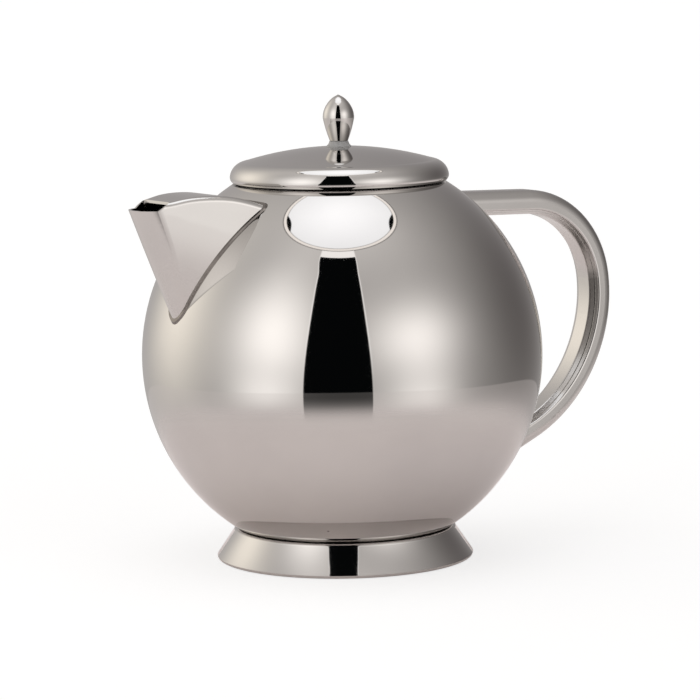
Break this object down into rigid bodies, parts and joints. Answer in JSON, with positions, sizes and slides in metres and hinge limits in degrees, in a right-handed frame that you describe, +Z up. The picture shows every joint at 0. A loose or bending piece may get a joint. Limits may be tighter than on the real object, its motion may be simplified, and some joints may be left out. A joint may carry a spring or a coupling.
{
  "type": "teapot infuser",
  "caption": "Ball-shaped polished steel teapot with a beak spout, loop handle and foot ring, a lift-off domed lid with an acorn knob, and a lift-out perforated infuser basket.",
  "frame": {"origin": "middle of the foot ring's resting face, on the ball's axis", "axes": "+Z up, the spout points to -X, the handle to +X, and y = 0 is the plane of symmetry"},
  "size_m": [0.2061, 0.145, 0.1679],
  "materials": {
    "polished_steel": "mirror-polished stainless steel",
    "satin_steel": "satin stainless steel, not polished",
    "weld_steel": "dressed weld bead, slightly darker than the sheet",
    "grey_plastic": "satin grey heat-resistant plastic"
  },
  "bodies": {
    "pot": {"pot_shell": "polished_steel", "foot_ring": "polished_steel", "neck_collar": "satin_steel", "spout_strainer": "satin_steel", "spout_shell": "polished_steel", "spout_weld_bead": "weld_steel", "handle_channel": "polished_steel", "handle_inner_strip": "polished_steel", "handle_weld_beads": "weld_steel"},
    "infuser": {"infuser_rim": "satin_steel", "infuser_basket": "satin_steel", "infuser_floor": "satin_steel", "infuser_base_hoop": "satin_steel"},
    "lid": {"lid_shell": "polished_steel", "lid_skirt": "satin_steel", "knob": "polished_steel", "knob_collar": "grey_plastic", "knob_washer": "satin_steel", "knob_screw": "satin_steel"}
  },
  "joints": [
    {"name": "infuser_lift", "type": "slide", "parent": "pot", "child": "infuser", "axis": [0, 0, 1], "range_m": [0, 0.09]},
    {"name": "lid_lift", "type": "slide", "parent": "infuser", "child": "lid", "axis": [0, 0, 1], "range_m": [0, 0.05]}
  ]
}
